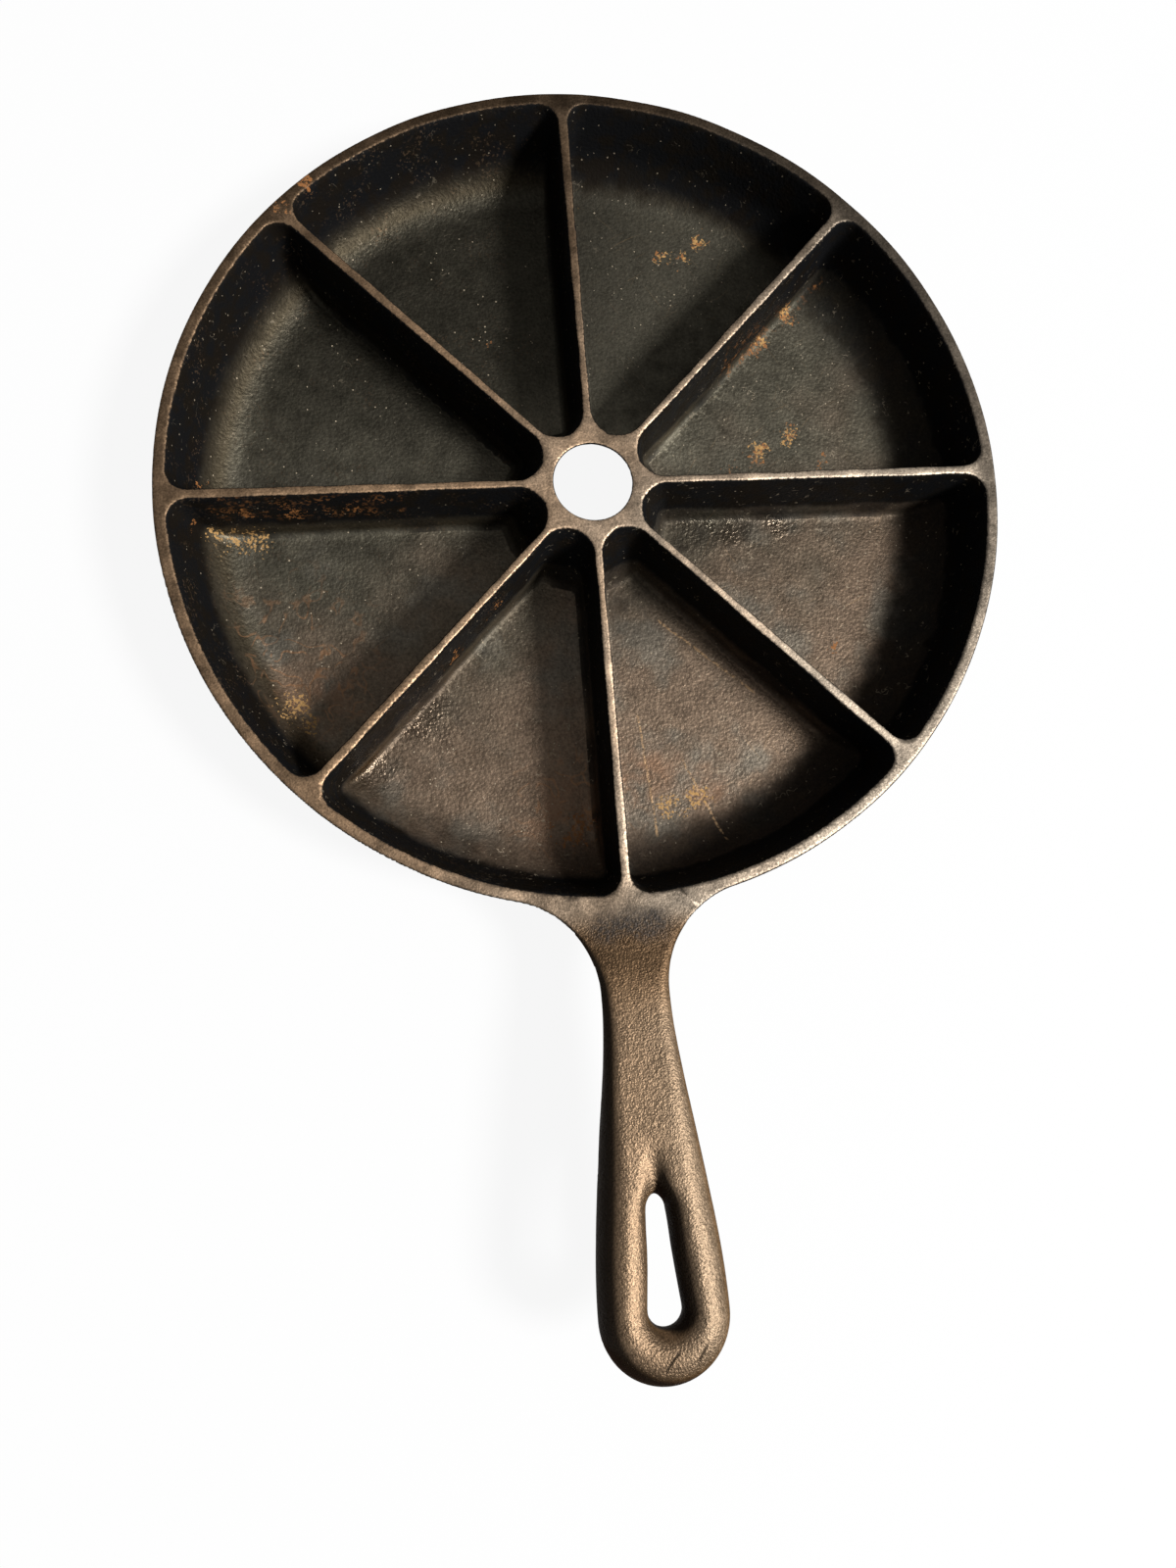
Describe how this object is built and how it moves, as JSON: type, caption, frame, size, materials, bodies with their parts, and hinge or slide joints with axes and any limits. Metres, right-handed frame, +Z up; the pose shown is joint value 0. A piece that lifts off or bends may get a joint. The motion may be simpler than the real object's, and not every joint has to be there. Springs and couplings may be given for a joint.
{
  "type": "wedge pan",
  "caption": "Round cast-iron baking pan split into wedge pockets by straight ribs, with a hollow hub and a long handle that ends in a hanging loop.",
  "frame": {"origin": "middle of the pan's footprint, rim to handle tip, on the plane that it rests on", "axes": "+Z up out of the pockets, +Y from the handle towards the round body, +X to the right as seen from the handle"},
  "size_m": [0.235, 0.3526, 0.036],
  "materials": {
    "pan_iron": "seasoned black in the pockets, worn to brown-grey on the rim, ribs and hub",
    "handle_iron": "seasoned bronze-brown with a satin, sandy cast skin"
  },
  "bodies": {
    "root": {"hub_cone": "pan_iron", "wedge_floor_1": "pan_iron", "wedge_floor_2": "pan_iron", "wedge_floor_3": "pan_iron", "wedge_floor_4": "pan_iron", "wedge_floor_5": "pan_iron", "wedge_floor_6": "pan_iron", "wedge_floor_7": "pan_iron", "wedge_floor_8": "pan_iron", "side_wall_1": "pan_iron", "side_wall_2": "pan_iron", "side_wall_3": "pan_iron", "side_wall_4": "pan_iron", "side_wall_5": "pan_iron", "side_wall_6": "pan_iron", "side_wall_7": "pan_iron", "side_wall_8": "pan_iron", "divider_rib_1": "pan_iron", "divider_rib_2": "pan_iron", "divider_rib_3": "pan_iron", "divider_rib_4": "pan_iron", "divider_rib_5": "pan_iron", "divider_rib_6": "pan_iron", "divider_rib_7": "pan_iron", "divider_rib_8": "pan_iron", "handle_root": "handle_iron", "handle_shank": "handle_iron", "handle_loop": "handle_iron"}
  },
  "joints": []
}
